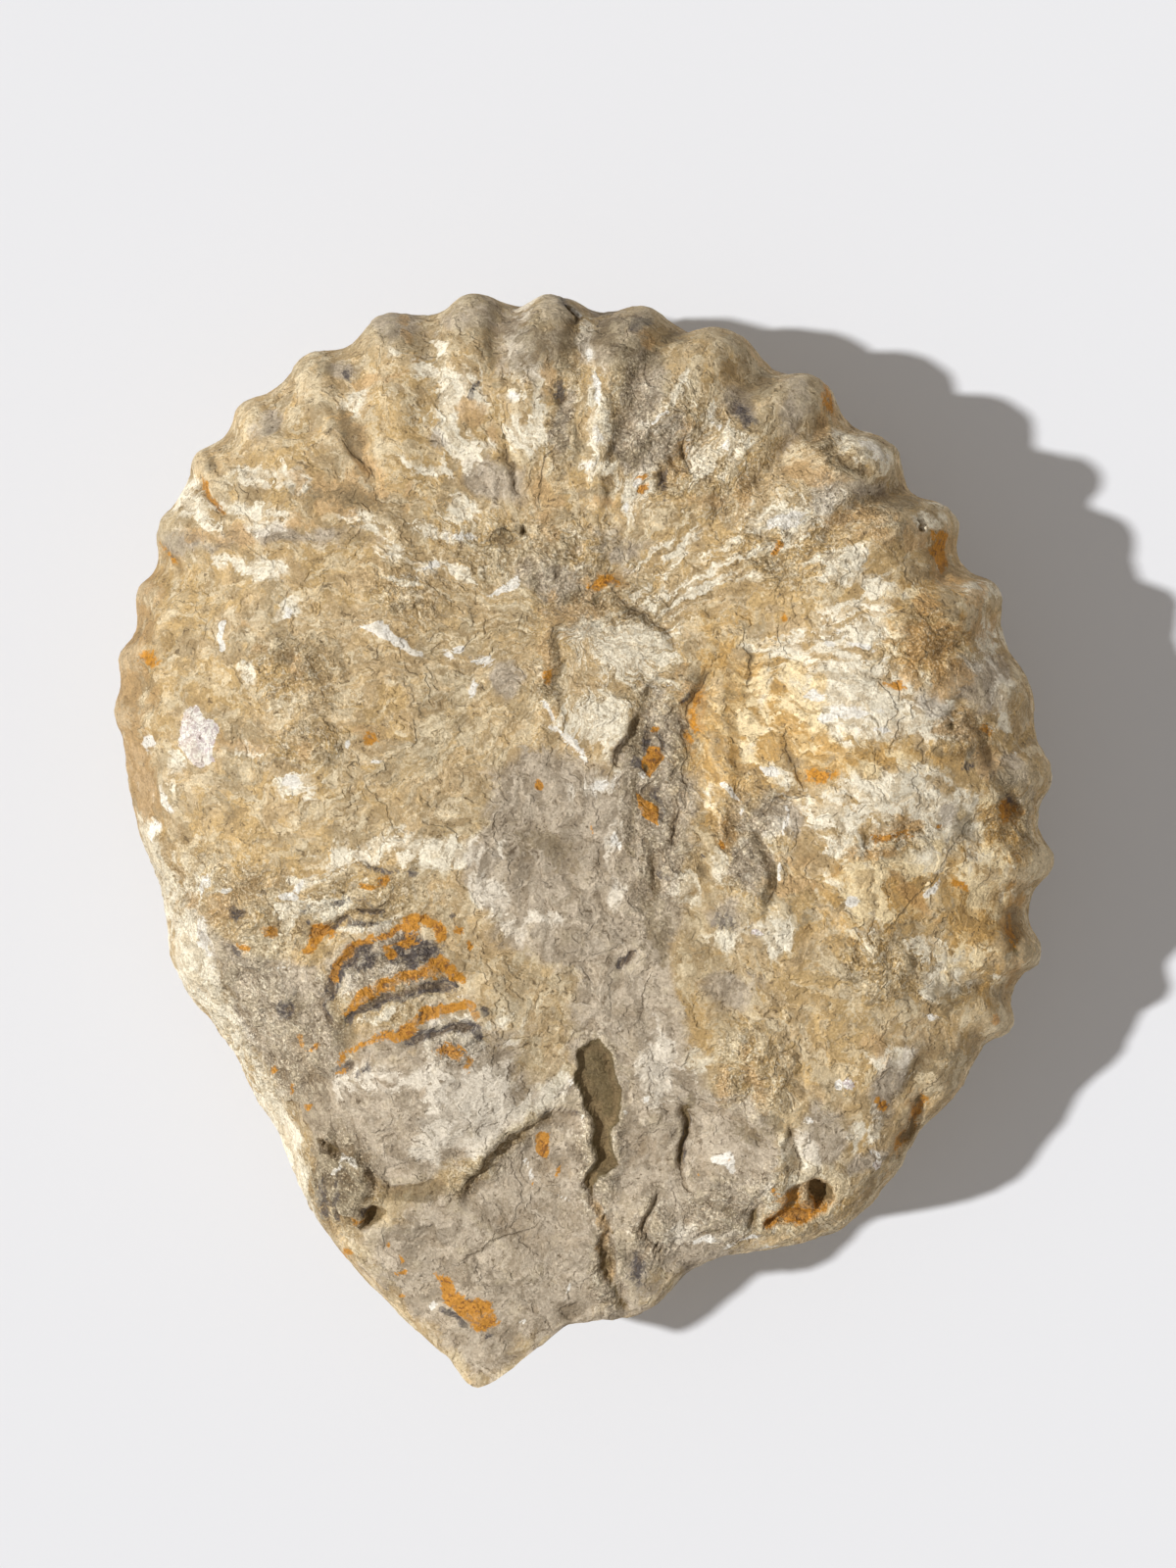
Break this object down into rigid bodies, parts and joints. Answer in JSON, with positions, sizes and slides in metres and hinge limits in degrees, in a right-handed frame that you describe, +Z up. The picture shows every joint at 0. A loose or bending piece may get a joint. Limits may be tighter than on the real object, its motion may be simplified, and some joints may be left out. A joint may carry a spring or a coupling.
{
  "type": "fossil ammonite",
  "caption": "Ribbed, knobbed ammonite fossil lying on its flank, its coil filled with limestone and a broken tongue of limestone left at the foot.",
  "frame": {"origin": "middle of the stone's box in plan, at the level of the worn flat it rests on", "axes": "+Z up out of the flank that shows, +Y towards the ribbed end and away from the limestone tongue, +X to the right seen from above"},
  "size_m": [0.1922, 0.2192, 0.0597],
  "materials": {
    "limestone": "matt, chalky, with ochre stains and rust spots"
  },
  "bodies": {
    "root": {"ammonite": "limestone"}
  },
  "joints": []
}
